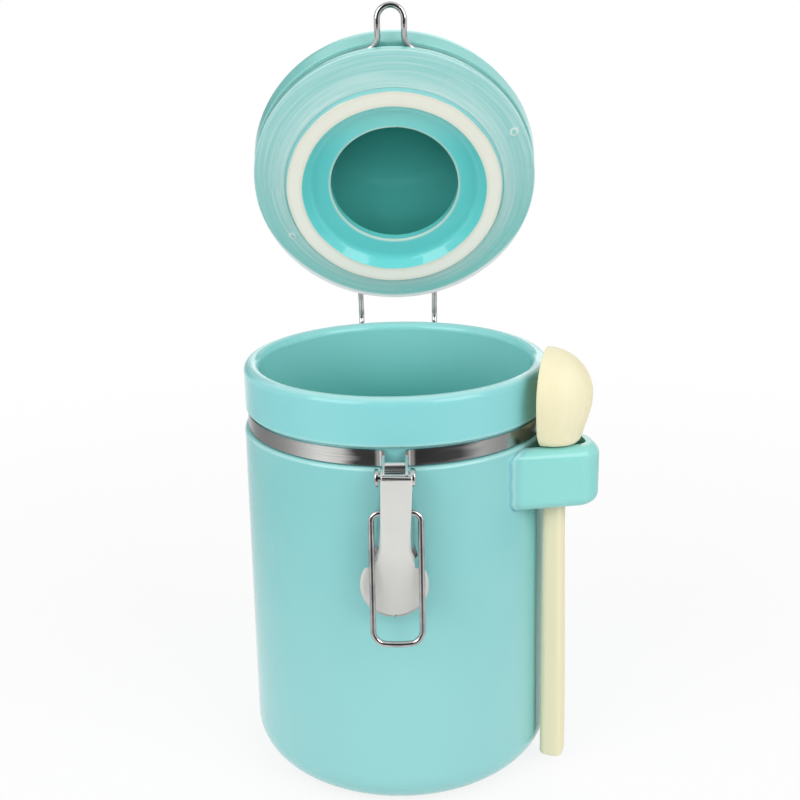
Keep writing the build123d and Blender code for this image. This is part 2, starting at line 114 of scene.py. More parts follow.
class Shader:
    """The node tree of a material or the world, ending in one shader."""

    def __init__(self, name: str, world: bool = False) -> None:
        """Make a material or the world and find its shader.

        Args:
            name: Its name.
            world: Whether it is the world.
        """
        self.owner = (bpy.data.worlds if world else bpy.data.materials).new(name)
        self.owner.use_nodes = True
        self.nodes = self.owner.node_tree.nodes
        self.links = self.owner.node_tree.links
        self.surface = self.nodes["Background" if world else "Principled BSDF"]
        self.end = self.nodes["World Output" if world else "Material Output"]

    def node(self, kind: str, settings: dict | None = None, inputs: dict | None = None) -> bpy.types.Node:
        """Add any node.

        Args:
            kind: The node's type.
            settings: Attributes that are set first.
            inputs: Values or links for its sockets, by name or place.

        Returns:
            The new node.
        """
        made = self.nodes.new(kind)
        for key, value in (settings or {}).items():
            setattr(made, key, value)
        for key, value in (inputs or {}).items():
            self.feed(made.inputs[key], value)
        return made

    def number(self, kind: str, settings: dict | None, inputs: dict) -> Value:
        """Add any node and take its first output as a number."""
        return Value(self, self.node(kind, settings, inputs).outputs[0])

    def feed(self, socket: Socket, value: object) -> None:
        """Give a socket a link or a constant.

        Args:
            socket: The socket to fill.
            value: A Value, another socket or a constant.
        """
        if isinstance(value, Value):
            value = value.socket
        if isinstance(value, Socket):
            self.links.new(value, socket)
            return
        if socket.type == "RGBA" and len(value) == 3:
            value = (*value, 1.0)
        socket.default_value = value

    def place(self, offset: Point = (0, 0, 0), turn: Point = (0, 0, 0), scale: Point = (1, 1, 1)) -> Socket:
        """Object coordinates, moved, turned and scaled for a pattern.

        Args:
            offset: Added after the turn.
            turn: Turn in radians about X, Y and Z.
            scale: Scale along X, Y and Z.

        Returns:
            The coordinates.
        """
        coordinates = self.node("ShaderNodeTexCoord").outputs["Object"]
        inputs = {"Vector": coordinates, "Location": offset, "Rotation": turn, "Scale": scale}
        return self.node("ShaderNodeMapping", None, inputs).outputs["Vector"]

    def parts(self, vector: Socket) -> tuple[Value, Value, Value]:
        """Split coordinates into X, Y and Z."""
        made = self.node("ShaderNodeSeparateXYZ", None, {"Vector": vector})
        return tuple(Value(self, out) for out in made.outputs)

    def join(self, x: Value | float, y: Value | float, z: Value | float) -> Socket:
        """Join three numbers into coordinates."""
        return self.node("ShaderNodeCombineXYZ", None, {"X": x, "Y": y, "Z": z}).outputs["Vector"]

    def noise(self, vector: Socket, scale: float, detail: float = 2.0) -> Value:
        """Noise from about 0 to 1, with a scale in waves to a metre and finer layers for its detail."""
        inputs = {"Vector": vector, "Scale": scale, "Detail": detail}
        return self.number("ShaderNodeTexNoise", None, inputs)

    def mix(self, amount: Value, first: object, second: object) -> Socket:
        """Blend two colours or colour sockets, with 0 for the first and 1 for the second."""
        inputs = {"Factor": amount, 6: first, 7: second}
        return self.node("ShaderNodeMix", {"data_type": "RGBA"}, inputs).outputs[2]

    def flatten(self, amount: Value) -> Socket:
        """Direction that a face looks in, smoothed over its neighbours or its own.

        Args:
            amount: 0 for the smoothed direction and 1 for the face's own.

        Returns:
            The direction.
        """
        sides = self.node("ShaderNodeNewGeometry").outputs
        inputs = {"Factor": amount, 4: sides["Normal"], 5: sides["True Normal"]}
        return self.node("ShaderNodeMix", {"data_type": "VECTOR"}, inputs).outputs[1]

    def bump(self, height: Value, depth: float, strength: float, **more: object) -> None:
        """Roughen the surface by a height, of which 1 stands for a depth in metres."""
        inputs = {"Height": height, "Distance": depth, "Strength": strength, **more}
        self.set(Normal=self.node("ShaderNodeBump", None, inputs).outputs["Normal"])

    def set(self, **sockets: object) -> None:
        """Fill sockets of the shader, with _ for a space in their names."""
        for name, value in sockets.items():
            self.feed(self.surface.inputs[name.replace("_", " ")], value)

    def show_white(self, kind: str, share: Value | float) -> None:
        """Show plain white to camera, glossy and transmission rays.

        Args:
            kind: The type of the white shader's node.
            share: How much of the white shows.
        """
        white = self.node(kind, None, {"Color": (1.0, 1.0, 1.0), "Strength": 1.0})
        path = self.node("ShaderNodeLightPath").outputs
        camera, glossy, through = (Value(self, path[ray]) for ray in WHITE_RAYS)
        seen = camera.larger(glossy).larger(through) * share
        shaders = {0: seen, 1: self.surface.outputs[0], 2: white.outputs[0]}
        self.feed(self.end.inputs["Surface"], self.node("ShaderNodeMixShader", None, shaders).outputs[0])


# Finishes


@dataclass(frozen=True)
class GlazeFinish:
    """Glossy glaze over pale clay, thinner and paler where it runs off edges, deeper where it pools, with
    painted highlights on edges and painted light and shade on the jar's foot and inside, at the strap's
    joint, in the lid's recess and hollow, and on the plug's clay ring.
    """

    body: Colour = linear(132, 201, 201)
    # foot: painted light, a paler glaze colour towards the bottom of the body standing in for light bounced
    # up from the floor.
    foot: Colour = linear(149, 210, 210)
    # Paler colour of glaze that runs thinner; it is also the painted highlight on the jar's edges and beside
    # the strap's joint.
    thin_glaze_and_highlight: Colour = linear(184, 229, 226)
    collar: Colour = linear(136, 209, 211)
    strap: Colour = linear(142, 213, 208)
    # deep: glaze inside the jar near its mouth, made brighter as painted light; the next colour is the
    # painted shade lower inside.
    deep: Colour = linear(148, 226, 224)
    inside_painted_shade: Colour = linear(60, 168, 158)
    recess: Colour = linear(110, 218, 217)
    # Painted light: paler recess colour towards the open lid's upper side.
    recess_painted_light: Colour = linear(156, 232, 228)
    crown: Colour = linear(139, 209, 203)
    hollow_painted_shade: Colour = linear(46, 138, 130)
    hollow_painted_light: Colour = linear(112, 226, 219)
    lip: Colour = linear(214, 234, 222)
    # Bluish colour of glaze pooled in the strap's joint, partly painted shade in that crease.
    pool: Colour = linear(110, 188, 208)
    clay: Colour = linear(242, 241, 228)
    # Painted light: brighter clay on the ring's lower side.
    clay_painted_light: Colour = linear(254, 253, 243)
    # Painted shade towards the ring's edges, also the colour of fine specks.
    clay_speck_and_painted_shade: Colour = linear(233, 230, 214)
    roughness: float = 0.035
    coat: float = 0.1

    def start(self, name: str) -> tuple[Shader, Socket, Value]:
        """Make the glaze without its edges.

        Args:
            name: The material's name.

        Returns:
            The shader, its mottled colour and the mottling.
        """
        shader = Shader(name)
        spots = shader.place()
        cloud = shader.noise(spots, 26.0)
        speck = shader.noise(spots, 900.0, 1.0)
        mottle = cloud.smooth(0.3, 0.75) * 0.12 + speck.smooth(0.62, 0.8) * 0.05
        colour = shader.mix(mottle, self.body, self.thin_glaze_and_highlight)
        shader.set(IOR=1.4, Coat_Roughness=0.03, Coat_Weight=self.coat)
        return shader, colour, cloud

    def jar(self, jar: "Jar") -> Material:
        """Glaze of the jar, pale along its edges with painted highlights, paler towards its foot with
        painted light, brighter near the mouth inside and darker lower inside with painted light and shade,
        and pooled with painted shade where the strap joins it.

        Args:
            jar: The jar, whose sizes the edges and the joint follow.

        Returns:
            The material.
        """
        shader, colour, cloud = self.start("jar glaze")
        spots = shader.place()
        x, y, z = shader.parts(spots)
        radius = (x * x + y * y) ** 0.5
        # Painted light: the body turns paler towards its foot.
        colour = shader.mix((1 - z.smooth(jar.foot, jar.shoulder)) * 0.9, colour, self.foot)
        colour = shader.mix(z.smooth(jar.shoulder, jar.collar_low), colour, self.collar)
        colour = shader.mix(radius.smooth(jar.strap_start, jar.strap_start + jar.edge), colour, self.strap)
        outside = radius.smooth(jar.inside, jar.inside + jar.edge)
        # Pale lines along the collar's lower edge, the shoulder and the rim: thinner glaze there, partly
        # painted highlight.
        edge = z.near(jar.collar_low, jar.edge) + z.near(jar.shoulder, jar.edge / 2)
        edge = edge * outside + z.near(jar.height, jar.edge)
        colour = shader.mix(edge * 0.6, colour, self.thin_glaze_and_highlight)
        # Inside the jar: painted shade darkens the glaze towards the bottom, and painted light brightens it
        # near the mouth.
        inner = shader.mix(z.smooth(jar.inside_shade_level, jar.height), self.inside_painted_shade, self.deep)
        colour = shader.mix((1 - outside) * (1 - z.near(jar.height, jar.edge)), colour, inner)

        wander = (shader.noise(spots, 160.0, 1.0) - 0.5) * jar.wander
        middle = (jar.strap_low + jar.strap_top) / 2
        straight = (jar.strap_top - jar.strap_low) / 2 - jar.strap_round
        turn = ((abs(z - middle) - straight) / jar.strap_round).larger(0.0)
        inward = (1 - (1 - turn * turn).larger(0.0) ** 0.5) * jar.strap_round
        line = x + wander - inward
        beside = (1 - y.smooth(*jar.strap_side)) * (1 - turn.smooth(0.95, 1.0)) * outside
        # Where the strap meets the body: pooled glaze that is partly painted shade in the crease, and beside
        # it a raised line with a painted highlight.
        joint = line.near(jar.strap_joint, jar.pool) * beside
        ridge_and_highlight = line.near(jar.strap_joint + 2 * jar.pool, 1.5 * jar.pool) * beside
        colour = shader.mix(joint * 0.6, colour, self.pool)
        colour = shader.mix(ridge_and_highlight * 0.35, colour, self.thin_glaze_and_highlight)
        waves = shader.noise(spots, 60.0) * 0.2 + ridge_and_highlight * 0.5 - joint * 0.5
        shader.bump(waves, depth=0.8 * MM, strength=0.6)
        shader.set(Base_Color=colour, Roughness=cloud * 0.05 + self.roughness)
        return shader.owner

    def lid(self, lid: "Lid") -> Material:
        """Glaze of the lid, deep in its recess and hollow, with painted light on the recess's upper side and
        painted shade and light across the hollow, and wiped off the foot ring of its plug, whose bare clay
        carries painted light and shade.

        Args:
            lid: The lid, whose own axis the ring goes round.

        Returns:
            The material.
        """
        shader, colour, cloud = self.start("lid glaze")
        spots = shader.place()
        _, along, _ = lid.lid_parts(shader)
        radius, height, _ = lid.axis_coordinates(shader)
        fade = lid.fade
        above = height.smooth(lid.ceiling + fade, lid.ceiling + 2 * fade)
        level = above * (1 - radius.smooth(lid.level_radius, lid.level_radius + 0.3 * fade))
        waves = shader.noise(spots, 60.0)
        shader.bump(waves, depth=0.16 * MM, strength=0.5, Normal=shader.flatten(level))
        outer = radius.smooth(lid.hollow_radius, lid.hollow_radius + 3 * fade).larger(above)
        colour = shader.mix(outer, colour, self.crown)
        # Painted light: the recess turns paler towards its upper side.
        recess = shader.mix(along.smooth(*lid.recess_span), self.recess_painted_light, self.recess)
        plug = (1 - radius.smooth(lid.ring_middle, lid.ring_middle + fade)) * (1 - above)
        colour = shader.mix(plug, colour, recess)
        # Inside the hollow: painted shade at its upper side, easing to painted light at its lower side.
        hollow = shader.mix(along.smooth(*lid.hollow_span), self.hollow_painted_shade, self.hollow_painted_light)
        within = 1 - radius.smooth(lid.hollow_radius, lid.hollow_radius + fade)
        within = within * height.smooth(-fade, 4 * fade) * (1 - above)
        colour = shader.mix(within, colour, hollow)
        edge = radius.near(lid.hole_radius, 1.5 * fade) * (1 - height.smooth(-1.3 * fade, -0.5 * fade))
        colour = shader.mix(edge * 0.9, colour, self.lip)

        wobble = (shader.noise(spots, 70.0, 1.0) - 0.5) * lid.wobble
        away = abs(radius + wobble - lid.ring_middle)
        bare = 1 - away.smooth(lid.ring_half - 0.3 * fade, lid.ring_half + 0.2 * fade)
        bare = bare * (1 - height.smooth(lid.ring_height, lid.ring_height + 0.8 * fade))
        grain = shader.noise(spots, 1500.0)
        # Bare clay ring: painted shade towards its edges as if it were rounded, painted light towards its
        # lower side, and fine darker specks of clay.
        painted_ring_shade = away.smooth(lid.ring_half * 0.4, lid.ring_half) * 0.8
        clay = shader.mix(along.smooth(*lid.clay_span), self.clay, self.clay_painted_light)
        clay = shader.mix(painted_ring_shade + grain.smooth(0.45, 0.8) * 0.12, clay, self.clay_speck_and_painted_shade)
        shader.set(Base_Color=shader.mix(bare, colour, clay))
        shader.set(Roughness=bare * 0.55 + cloud * 0.05 + self.roughness)
        shader.set(Coat_Weight=(1 - bare) * self.coat)
        return shader.owner


@dataclass(frozen=True)
class SiliconeFinish:
    """Milky silicone that lets the glaze under it show through."""

    film: Colour = linear(145, 203, 200)
    film_painted_light: Colour = linear(124, 211, 204)
    milk_and_highlight: Colour = linear(196, 226, 222)
    # edge: pale colour of the painted highlight round the eyelets.
    edge: Colour = linear(222, 231, 228)
    # lip: near-white painted light on the gasket's outer edge.
    lip: Colour = linear(254, 254, 254)

    def gasket(self, lid: "Lid") -> Material:
        """Silicone of the gasket, with painted light where it hangs off the lid and on its lower side, and
        painted highlights round its eyelets and in its fine streaks.

        Args:
            lid: The lid, whose own axis the gasket goes round.

        Returns:
            The material.
        """
        shader = Shader("milky silicone")
        radius, _, bearing = lid.axis_coordinates(shader)
        fade = lid.fade
        cloud = shader.noise(shader.place(), 30.0)
        streaks = shader.noise(shader.join(radius * 900.0, bearing * 1.3, 0.0), 1.0, 4.0)
        fine = shader.noise(shader.join(radius * 4200.0, bearing * 2.0, 0.3), 1.0)
        inner = 1 - radius.smooth(lid.gasket_inner, lid.gasket_inner + 9 * fade)
        # Milky tone, paler towards the inner edge, with fine concentric streaks that are partly painted
        # highlights.
        milk_and_highlight = streaks.smooth(0.4, 0.68) * 0.4 + fine.smooth(0.55, 0.75) * 0.25 + inner * 0.5
        x, along, _ = lid.lid_parts(shader)
        # Painted light: the film turns brighter towards its lower side.
        film = shader.mix(along.smooth(*lid.film_span), self.film, self.film_painted_light)
        colour = shader.mix(milk_and_highlight, film, self.milk_and_highlight)
        # Painted light: the gasket's outer edge turns nearly white, most on its lower side, standing in for
        # light shining through the silicone.
        low = along.smooth(*lid.low_span)
        rim = (radius - lid.gasket_outer + low * lid.rim_drop).smooth(-0.8 * fade, 0.6 * fade)
        colour = shader.mix(rim * (low * 0.6 + 0.4), colour, self.lip)
        # Painted highlight: a pale ring round each eyelet.
        for middle_x, middle_y in lid.eyelet_places():
            away = ((x - middle_x) ** 2.0 + (along - middle_y) ** 2.0) ** 0.5
            colour = shader.mix(away.near(lid.eyelet_radius, 0.6 * fade) * 0.9, colour, self.edge)
        shader.set(Base_Color=colour, Roughness=cloud * 0.12 + 0.2, IOR=1.43)
        shader.bump(streaks * 0.6 + fine * 0.4, depth=0.12 * MM, strength=0.5)
        return shader.owner


class Steel(Enum):
    """The three ways that the metal is finished."""

    BRUSHED = "brushed"
    SATIN = "satin"
    POLISHED = "polished"


@dataclass(frozen=True)
class SteelFinish:
    """Stainless steel, with the places in X, Y or Z where its tone, its painted dark reflections, its
    painted highlight and its painted shadow change along the band and the lever.
    """

    # dark: colour of the band's painted dark reflections and of the flanges' painted shadow.
    dark: Colour = (0.045, 0.045, 0.047)
    shade: Colour = (0.34, 0.34, 0.34)
    tone: Colour = (0.4, 0.4, 0.41)
    bright: Colour = (0.58, 0.575, 0.565)
    # glint: bright end of the band's painted highlight; edge, below, is its dark end.
    glint: Colour = (0.74, 0.735, 0.715)
    face: Colour = (0.68, 0.685, 0.652)
    face_worn: Colour = (0.7, 0.705, 0.672)
    face_low: Colour = (0.63, 0.63, 0.6)
    edge: Colour = (0.28, 0.28, 0.28)
    fray: float = 14 * MM
    left_dark_reflection: Pair = (-21 * MM, -14.5 * MM)
    left_ear: Pair = (-7.5 * MM, -6 * MM)
    right_ear: Pair = (6.2 * MM, 7.5 * MM)
    right_dark_reflection: Pair = (22 * MM, 32 * MM)
    front: Pair = (-20 * MM, 0.0)
    painted_sheen: Pair = (-54 * MM, -22 * MM)
    dull: Pair = (-5 * MM, 20 * MM)
    slope: Pair = (126 * MM, 103 * MM)
    slope_depth: float = 2.6 * MM
    behind: Pair = (-70.6 * MM, -69.7 * MM)
    above_paddle: Pair = (104.5 * MM, 107 * MM)
    plate_end: Pair = (140.3 * MM, 140.9 * MM)
    low_face: Pair = (98 * MM, 115 * MM)
    flange_painted_shadow: Pair = (110 * MM, 117 * MM)

    def make(self, steel: Steel) -> Material:
        """One of the steel finishes.

        Args:
            steel: Which one.

        Returns:
            The material.
        """
        shader = Shader(steel.value + " steel")
        ways = {Steel.BRUSHED: self._brushed, Steel.SATIN: self._satin, Steel.POLISHED: self._polished}
        ways[steel](shader)
        return shader.owner

    def _brushed(self, shader: Shader) -> None:
        """Draw fine lines along the band, and paint dark reflections either side of the latch and a painted
        highlight that is brightest on the left.

        Args:
            shader: The tree to add the nodes to.
        """
        lines = shader.noise(shader.place(scale=(1, 1, 60)), 34.0, 3.0)
        streak = shader.noise(shader.place(scale=(1, 1, 12)), 26.0)
        x, y, _ = shader.parts(shader.place())
        # Painted dark reflections on the band either side of the latch, with ragged, streaky ends.
        frayed = x + (streak - 0.5) * self.fray
        left = frayed.smooth(*self.left_dark_reflection) * (1 - x.smooth(*self.left_ear))
        right = x.smooth(*self.right_ear) * (1 - frayed.smooth(*self.right_dark_reflection))
        front = left.larger(right) * (1 - y.smooth(*self.front))
        # Painted highlight: the band is bright to the left and duller to the right.
        painted_sheen = x.smooth(*self.painted_sheen) * (1 - x.smooth(*self.dull) * 0.72)
        light = shader.mix(painted_sheen, self.edge, self.glint)
        light = shader.mix(lines.smooth(0.35, 0.7) * 0.25, light, self.shade)
        painted_dark_reflection = shader.mix(streak.smooth(0.46, 0.66) * 0.6, self.dark, self.shade)
        shader.set(Base_Color=shader.mix(front * 0.95, light, painted_dark_reflection))
        shader.set(Roughness=lines * 0.14 + 0.14, Metallic=1.0)
        shader.bump(lines, depth=0.02 * MM, strength=0.4)

    def _satin(self, shader: Shader) -> None:
        """Tumble the pressed lever's face to a soft, pale grey, and make its flanges bright metal with
        painted shadow at their lower ends.

        Args:
            shader: The tree to add the nodes to.
        """
        fine = shader.noise(shader.place(scale=(1, 1, 0.2)), 2400.0)
        cloud = shader.noise(shader.place(), 120.0)
        _, y, z = shader.parts(shader.place())
        slope = z.smooth(*self.slope) * self.slope_depth
        behind = (y - slope).smooth(*self.behind) * z.smooth(*self.above_paddle)
        behind = behind.larger(z.smooth(*self.plate_end))
        face = shader.mix(cloud.smooth(0.3, 0.7), self.face, self.face_worn)
        face = shader.mix(z.smooth(*self.low_face), self.face_low, face)
        # Painted shadow: the flanges darken towards the paddle.
        flange = shader.mix(z.smooth(*self.flange_painted_shadow), self.dark, self.bright)
        shader.set(Base_Color=shader.mix(behind, face, flange))
        shader.set(Roughness=fine * 0.12 + 0.4 - behind * 0.3, Metallic=behind * 0.8 + 0.2)
        shader.bump(fine, depth=0.012 * MM, strength=0.5)

    def _polished(self, shader: Shader) -> None:
        """Cloud the bright wire faintly.

        Args:
            shader: The tree to add the nodes to.
        """
        cloud = shader.noise(shader.place(), 160.0)
        shader.set(Base_Color=shader.mix(cloud.smooth(0.3, 0.7), self.tone, self.bright))
        shader.set(Roughness=cloud * 0.08 + 0.06, Metallic=1.0)
        shader.bump(cloud, depth=0.02 * MM, strength=0.4)


@dataclass(frozen=True)
class WoodFinish:
    """Pale close-grained wood, sanded and left bare."""

    early: Colour = linear(239, 232, 198)
    late: Colour = linear(233, 224, 182)

    def make(self) -> Material:
        """Wood with its grain along the handle.

        Returns:
            The material.
        """
        shader = Shader("pale wood")
        grain = shader.noise(shader.place(scale=(1, 1, 0.03)), 800.0, 3.0)
        bands = shader.noise(shader.place(scale=(1, 1, 0.05)), 130.0)
        pores = shader.noise(shader.place(scale=(1, 1, 0.06)), 2600.0, 1.0)
        tone = grain.smooth(0.35, 0.75) * 0.3 + bands.smooth(0.38, 0.68) * 0.4
        tone = tone + pores.smooth(0.66, 0.8) * 0.2
        shader.set(Base_Color=shader.mix(tone, self.early, self.late))
        shader.set(Roughness=grain * 0.15 + 0.5)
        shader.bump(grain * 0.7 + pores * 0.3, depth=0.1 * MM, strength=0.3)
        return shader.owner


# Surfaces


def circle(count: int) -> Array:
    """Bearings of evenly spaced points round a full turn."""
    return np.linspace(0, 2 * np.pi, count, endpoint=False)


def ease(values: Array, low: float, high: float) -> Array:
    """Ease an array from 0 at low to 1 at high, by 3t^2 - 2t^3 with t the clipped share of the way."""
    share = np.clip((values - low) / (high - low), 0, 1)
    return share * share * (3 - 2 * share)


def signed_power(values: Array, power: Array | float) -> Array:
    """Raise an array to a power and keep its signs."""
    return np.sign(values) * np.abs(values) ** power


def rounded_maximum(first: Array, second: Array, power: float = 5.0) -> Array:
    """Join two arrays by (a^p + b^p)^(1/p), their maximum with its corner rounded off."""
    return (first**power + second**power) ** (1 / power)


def add_mesh(name: str, vertices: Array, faces: list[list[int]]) -> Object:
    """Make an object with smooth faces and put it in the scene.

    Args:
        name: The object's name.
        vertices: Points by three.
        faces: The places of each face's corners among the points.

    Returns:
        The object.
    """
    mesh = bpy.data.meshes.new(name)
    mesh.from_pydata(vertices.tolist(), [], faces)
    mesh.shade_smooth()
    made = bpy.data.objects.new(name, mesh)
    bpy.context.scene.collection.objects.link(made)
    return made


def tube_mesh(name: str, points: Array, ends: Array | None) -> Object:
    """Make a closed object from rings of points.

    Args:
        name: The object's name.
        points: Rings by points by three, each ring closed on itself.
        ends: A pole below the first ring and one past the last, or None to join the last ring to the first.

    Returns:
        The object, with faces that point outwards.
    """
    rings, count, _ = points.shape
    last = rings if ends is None else rings - 1
    ring = np.arange(last)[:, None]
    step = np.arange(count)[None, :]
    after = (ring + 1) % rings
    beside = (step + 1) % count
    corners = [ring * count + step, ring * count + beside, after * count + beside, after * count + step]
    quads = np.stack(np.broadcast_arrays(*corners), -1).reshape(-1, 4).tolist()
    vertices = points.reshape(-1, 3)
    if ends is not None:
        low = len(vertices)
        turn = np.arange(count)
        ahead = (turn + 1) % count
        top = (rings - 1) * count
        quads += np.stack([np.full(count, low), ahead, turn], -1).tolist()
        quads += np.stack([np.full(count, low + 1), top + turn, top + ahead], -1).tolist()
        vertices = np.vstack([vertices, ends])
    return add_mesh(name, vertices, quads)


def sheet_mesh(name: str, points: Array, thickness: float) -> Object:
    """Make an object of even thickness behind an open grid of points.

    Args:
        name: The object's name.
        points: Rows by columns by three, on the outer face.
        thickness: How thick the sheet is.

    Returns:
        The object.
    """
    rows, columns, _ = points.shape
    row = np.arange(rows - 1)[:, None]
    step = np.arange(columns - 1)[None, :]
    first = row * columns + step
    quads = np.stack([first, first + columns, first + columns + 1, first + 1], -1).reshape(-1, 4)
    made = add_mesh(name, points.reshape(-1, 3), quads.tolist())
    solid = made.modifiers.new("thickness", "SOLIDIFY")
    solid.thickness = thickness
    solid.offset = -1.0
    return made


def wire_mesh(name: str, path: Array, normal: Array, radius: float, steps: int = 28) -> Object:
    """Make a closed round wire along a flat closed path.

    Args:
        name: The object's name.
        path: Points by three along the path.
        normal: Direction square to the path's plane.
        radius: The wire's radius.
        steps: Points round the wire.

    Returns:
        The object: circles about the path's points, each in the plane of the normal and the path's side.
    """
    tangent = np.roll(path, -1, 0) - np.roll(path, 1, 0)
    tangent = tangent / np.linalg.norm(tangent, axis=1, keepdims=True)
    sideways = np.cross(normal, tangent)
    turn = circle(steps)[None, :, None]
    ring = np.cos(turn) * sideways[:, None, :] + np.sin(turn) * normal[None, None, :]
    return tube_mesh(name, path[:, None, :] + radius * ring, None)


def dress(name: str, material: Material) -> None:
    """Give a CAD node a material.

    Args:
        name: The node's name.
        material: What it is made of.
    """
    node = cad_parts[name]
    node.data.materials.clear()
    node.data.materials.append(material)
    LOG.info("%s keeps its CAD shape in %s", name, material.name)


def settle(piece: Object, body: str, node: str, material: Material) -> None:
    """Put a new piece in a CAD node's stead.

    Args:
        piece: The new piece.
        body: The body it moves with.
        node: The node that it stands for.
        material: What it is made of.
    """
    piece.data.materials.append(material)
    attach(piece, body)
    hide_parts(node)
    LOG.info("%s stands for %s in %s", piece.name, node, material.name)


# Sub-assemblies


@dataclass
class Jar:
    """Glazed body with its collar, groove and spoon strap."""

    height: float = 166.5 * MM
    collar_low: float = 148.6 * MM
    shoulder: float = 140.4 * MM
    # Height where the painted light at the foot is strongest.
    foot: float = 20 * MM
    edge: float = 1.6 * MM
    inside: float = 55.5 * MM
    # Height at and below which the jar's inside shows the full painted shade.
    inside_shade_level: float = 112 * MM
    strap_low: float = 116.2 * MM
    strap_top: float = 140 * MM
    strap_start: float = 63 * MM
    strap_round: float = 4 * MM
    strap_joint: float = 42 * MM
    strap_side: Pair = (-42 * MM, -36 * MM)
    # Half-width of the pooled, partly shaded line at the strap's joint.
    pool: float = 0.7 * MM
    wander: float = 1.4 * MM
    glaze: GlazeFinish = GlazeFinish()

    def build(self) -> None:
        """Dress the jar."""
        dress("jar", self.glaze.jar(self))


@dataclass
class Lid:
    """Open lid with its gasket and its bent wire. The spans are along the closed lid's own Y."""

    hinge: Point = (0.0, 79.3 * MM, 141.7 * MM)
    open_angle: float = math.radians(66.4)
    below_lid: float = 27.41 * MM
    hollow_radius: float = 53.7 * MM
    ceiling: float = 24 * MM
    level_radius: float = 11.2 * MM
    ring_middle: float = 43.65 * MM
    ring_half: float = 3.35 * MM
    ring_height: float = -6.3 * MM
    hole_radius: float = 28.1 * MM
    fade: float = 1 * MM
    wobble: float = 0.8 * MM
    # The spans below place the painted light and shade across the recess, the hollow, the clay ring, the
    # gasket's film and the gasket's lower edge.
    recess_span: Pair = (-40 * MM, -12 * MM)
    hollow_span: Pair = (-30 * MM, 35 * MM)
    clay_span: Pair = (-40 * MM, 40 * MM)
    film_span: Pair = (-20 * MM, 60 * MM)
    low_span: Pair = (10 * MM, 55 * MM)
    rim_drop: float = 2.6 * MM
    gasket_outer: float = 61.9 * MM
    gasket_inner: float = 47.8 * MM
    gasket_fall: float = 5.5 * MM
    gasket_thickness: float = 1.6 * MM
    eyelet_radius: float = 1.5 * MM
    eyelet_rise: float = 0.6 * MM
    eyelet_swell: float = 0.45 * MM
    eyelets: tuple[Pair, ...] = ((math.radians(-26.0), 57.4 * MM), (math.radians(153.0), 52.4 * MM))
    glaze: GlazeFinish = GlazeFinish()
    silicone: SiliconeFinish = SiliconeFinish()
    steel: SteelFinish = SteelFinish()

    def lid_parts(self, shader: Shader) -> tuple[Value, Value, Value]:
        """Place of a point of the open lid in the closed lid's own directions.

        Args:
            shader: The tree to add the nodes to.

        Returns:
            X, Y and the height above the gasket's outer edge, in metres.
        """
        hinge = Vector(self.hinge)
        back = Matrix.Rotation(self.open_angle, 3, "X") @ hinge
        offset = (-hinge.x, hinge.y - back.y, -self.below_lid - back.z)
        return shader.parts(shader.place(offset=offset, turn=(self.open_angle, 0, 0)))

    def axis_coordinates(self, shader: Shader) -> tuple[Value, Value, Value]:
        """Radius from the lid's own axis, height along it and bearing round it, in metres and radians."""
        across, along, up = self.lid_parts(shader)
        return (across * across + along * along) ** 0.5, up, along.bearing(across)

    def eyelet_places(self) -> list[Pair]:
        """Middles of the eyelets in the closed lid's own X and Y."""
        return [(away * math.cos(turn), away * math.sin(turn)) for turn, away in self.eyelets]

    def swing_open(self, points: Array) -> Array:
        """Carry points from the closed lid's own axes to the open lid.

        Args:
            points: Points by three, with the gasket's outer edge at height 0.

        Returns:
            The points turned back about the hinge by the open angle.
        """
        turn = np.array(Matrix.Rotation(-self.open_angle, 3, "X"))
        start = np.array([0.0, self.hinge[1], -self.below_lid])
        return (points - start) @ turn.T + np.array(self.hinge)

    def gasket_surface(self, turns: int = 720, steps: int = 44) -> Array:
        """Conical washer with rounded edges and two small eyelets.

        A flat rounded bar goes round the axis: its middle line falls from the outer edge to the inner one,
        and its section is a superellipse. An eyelet is a ring-shaped swell of the lower face, a bell curve
        of the distance from a circle round the eyelet's middle.

        Args:
            turns: Points round the axis.
            steps: Points round the section.

        Returns:
            Rings by points by three, in the closed lid's own axes.
        """
        bearing = circle(turns)[:, None]
        around = circle(steps)[None, :]
        half = (self.gasket_outer - self.gasket_inner) / 2
        across = signed_power(np.cos(around), 0.3)
        through = signed_power(np.sin(around), 0.55)
        radius = (self.gasket_outer + self.gasket_inner) / 2 + half * across + 0 * bearing
        slope = self.gasket_fall / (2 * half)
        height = (radius - self.gasket_outer) * slope + self.gasket_thickness / 2 * (1 + through)
        x = radius * np.cos(bearing)
        y = radius * np.sin(bearing)
        for middle_x, middle_y in self.eyelet_places():
            away = np.hypot(x - middle_x, y - middle_y)
            swell = np.exp(-(((away - self.eyelet_radius) / self.eyelet_swell) ** 2))
            height = height - self.eyelet_rise * swell * (through < 0)
        return np.stack([x, y, height], -1)

    def build(self) -> None:
        """Dress the lid and its wire, and make the gasket."""
        dress("lid", self.glaze.lid(self))
        dress("lid_wire", self.steel.make(Steel.POLISHED))
        points = self.swing_open(self.gasket_surface()[::-1])
        gasket = tube_mesh("gasket_ring", points, None)
        settle(gasket, "lid", "lid_gasket", self.silicone.gasket(self))


